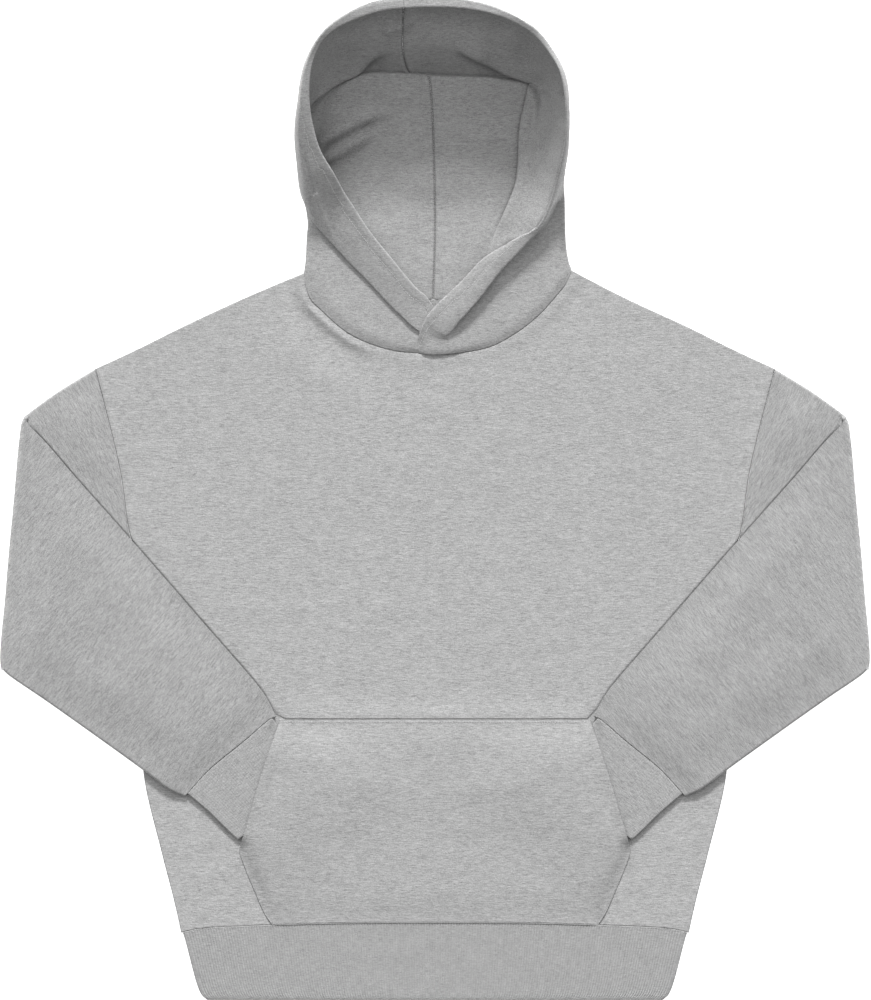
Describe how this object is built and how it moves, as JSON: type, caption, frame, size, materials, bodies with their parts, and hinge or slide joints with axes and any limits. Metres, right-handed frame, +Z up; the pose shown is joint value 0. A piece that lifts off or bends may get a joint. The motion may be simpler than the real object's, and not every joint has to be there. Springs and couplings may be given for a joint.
{
  "type": "pullover hoodie",
  "caption": "Heather-grey fleece pullover hoodie laid flat, its hood spread open, its sleeves folded over the front and the ribbed cuffs tucked into the kangaroo pocket.",
  "frame": {"origin": "on the surface it lies on, under the middle of the garment's box", "axes": "+X to the viewer's right, +Y up the garment from the hem to the hood, +Z up from the surface"},
  "size_m": [0.8328, 0.9606, 0.0761],
  "materials": {
    "fleece": "heather-grey brushed fleece, matte",
    "rib": "heather-grey rib knit, matte"
  },
  "bodies": {
    "root": {"back_panel": "fleece", "front_panel": "fleece", "sleeve_right": "fleece", "sleeve_left": "fleece", "pocket": "fleece", "hood_right": "fleece", "hood_left": "fleece", "cuff_right": "rib", "cuff_left": "rib", "hem_rib": "rib"}
  },
  "joints": []
}
